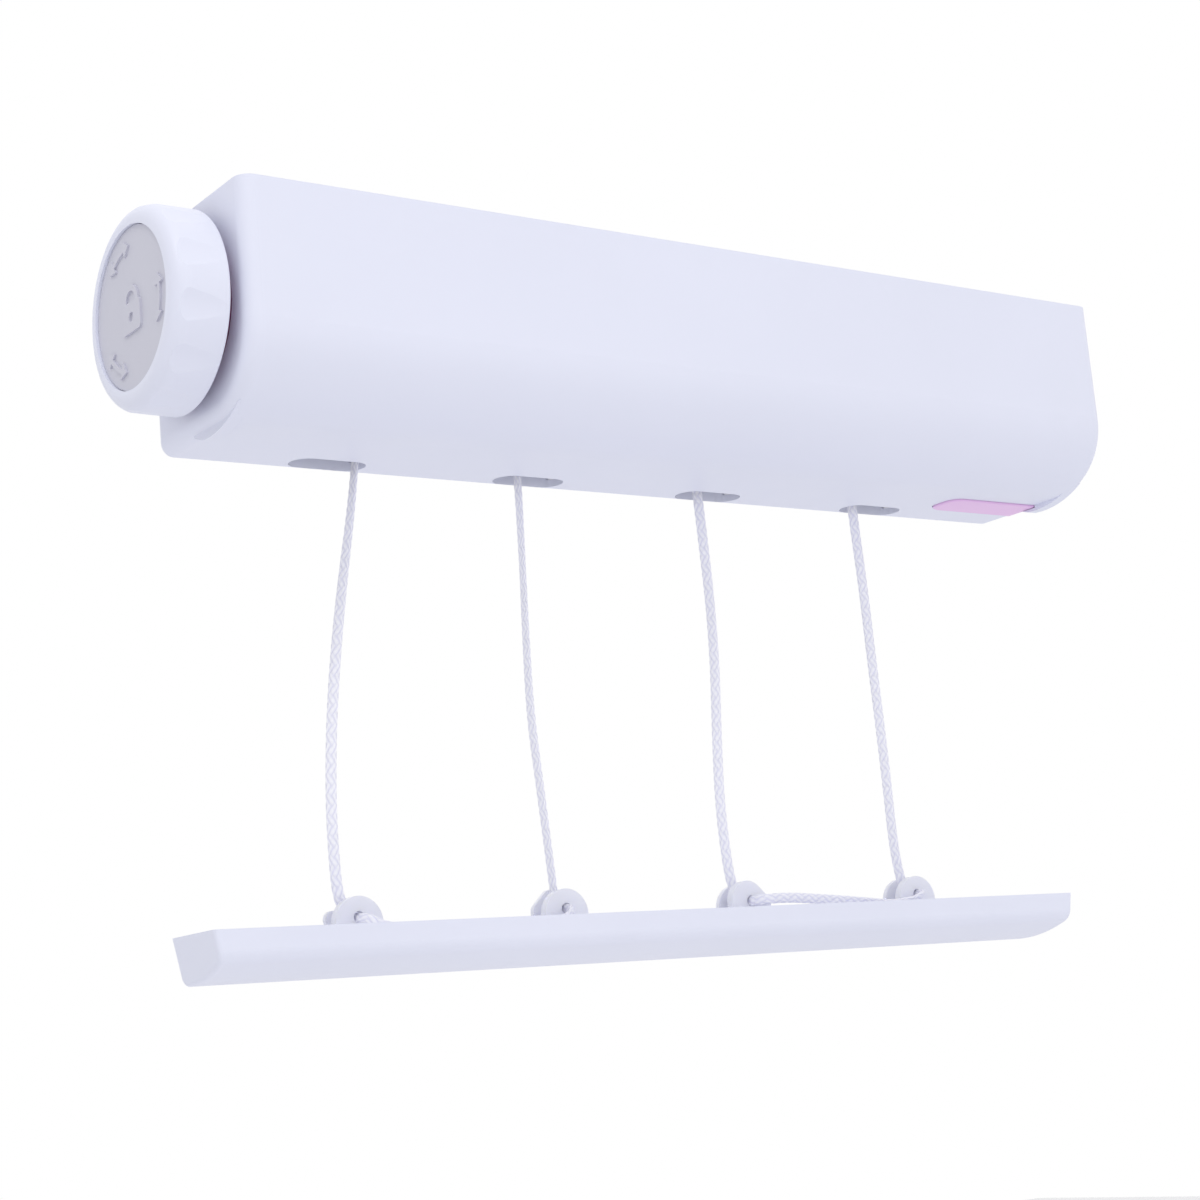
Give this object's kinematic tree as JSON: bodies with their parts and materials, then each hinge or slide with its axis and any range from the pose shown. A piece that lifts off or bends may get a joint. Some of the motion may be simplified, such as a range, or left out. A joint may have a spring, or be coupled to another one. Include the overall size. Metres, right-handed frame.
{
  "type": "retractable clothesline",
  "caption": "Wall-mounted retractable clothesline: a long rounded case with a spring drum, a scalloped lock knob, four braided lines and a pull bar with cord cleats.",
  "frame": {"origin": "centre of the wall plate's outer face, midway between the two keyhole entries", "axes": "+X along the case from the knob to the release button, +Z into the wall, the lines leave towards -Z, +Y towards the side of the case that the line slots are near"},
  "size_m": [0.382, 0.067, 0.2342],
  "materials": {
    "white_abs": "gloss, faint lavender white",
    "knob_face_abs": "satin white",
    "grey_abs": "satin",
    "magenta_abs": "satin",
    "pink_abs": "satin",
    "nylon": "milky",
    "braid": "flat braid with grey flecks",
    "rubber": "matt",
    "steel": "zinc plated",
    "bush": "sintered",
    "frame_abs": "moulded"
  },
  "bodies": {
    "housing": {"housing_shell": "white_abs", "wall_plate": "white_abs", "wall_plate_screws": "steel", "line_guide_1": "grey_abs", "line_guide_2": "grey_abs", "line_guide_3": "grey_abs", "line_guide_4": "grey_abs", "left_bearing_plate": "frame_abs", "right_bearing_plate": "frame_abs", "left_bush": "bush", "right_bush": "bush", "lock_ring": "rubber", "spring_case": "frame_abs", "spring_case_cover": "steel", "spring_case_screws": "steel", "mainspring": "steel", "button_spring": "steel", "brake_bracket": "frame_abs", "brake_pin": "steel"},
    "drum": {"drum_shaft": "steel", "drum_spool": "magenta_abs", "wound_line_1": "braid", "wound_line_2": "braid", "wound_line_3": "braid", "wound_line_4": "braid", "brake_wheel": "frame_abs", "spring_arbor": "frame_abs", "shaft_washer": "steel", "shaft_screw": "steel"},
    "knob": {"knob_cap": "white_abs", "knob_face": "knob_face_abs", "knob_collar": "magenta_abs"},
    "release_button": {"release_button": "pink_abs"},
    "brake_lever": {"brake_lever": "frame_abs", "brake_pad": "rubber"},
    "pull_bar": {"bar_shell": "white_abs", "bar_tray": "white_abs", "bar_tray_screws": "steel", "cleat_1": "nylon", "cleat_2": "nylon", "cleat_3": "nylon", "cleat_4": "nylon", "line_cord_a": "braid", "line_cord_b": "braid"}
  },
  "joints": [
    {"name": "bar_travel", "type": "slide", "parent": "housing", "child": "pull_bar", "axis": [0, 0, 1], "range_m": [-3.6, 0.147], "deforming": ["line_cord_a", "line_cord_b"]},
    {"name": "drum_turn", "type": "hinge", "parent": "housing", "child": "drum", "pos_m": [0, 0, -0.034], "axis": [1, 0, 0], "range_deg": [-11144, 460]},
    {"name": "knob_push", "type": "slide", "parent": "drum", "child": "knob", "axis": [1, 0, 0], "range_m": [0, 0.0035]},
    {"name": "button_press", "type": "slide", "parent": "housing", "child": "release_button", "axis": [0, 0, 1], "range_m": [0, 0.002], "stiffness_N_per_m": 400, "deforming": ["button_spring"]},
    {"name": "brake_release", "type": "hinge", "parent": "housing", "child": "brake_lever", "pos_m": [0.136, 0.008, -0.062], "axis": [0, 1, 0], "range_deg": [-8.3, 0.1]}
  ],
  "couplings": [
    {"joint": "drum_turn", "follows": "bar_travel", "rad_per_m": 54},
    {"joint": "brake_release", "follows": "button_press", "rad_per_m": -71.4}
  ]
}
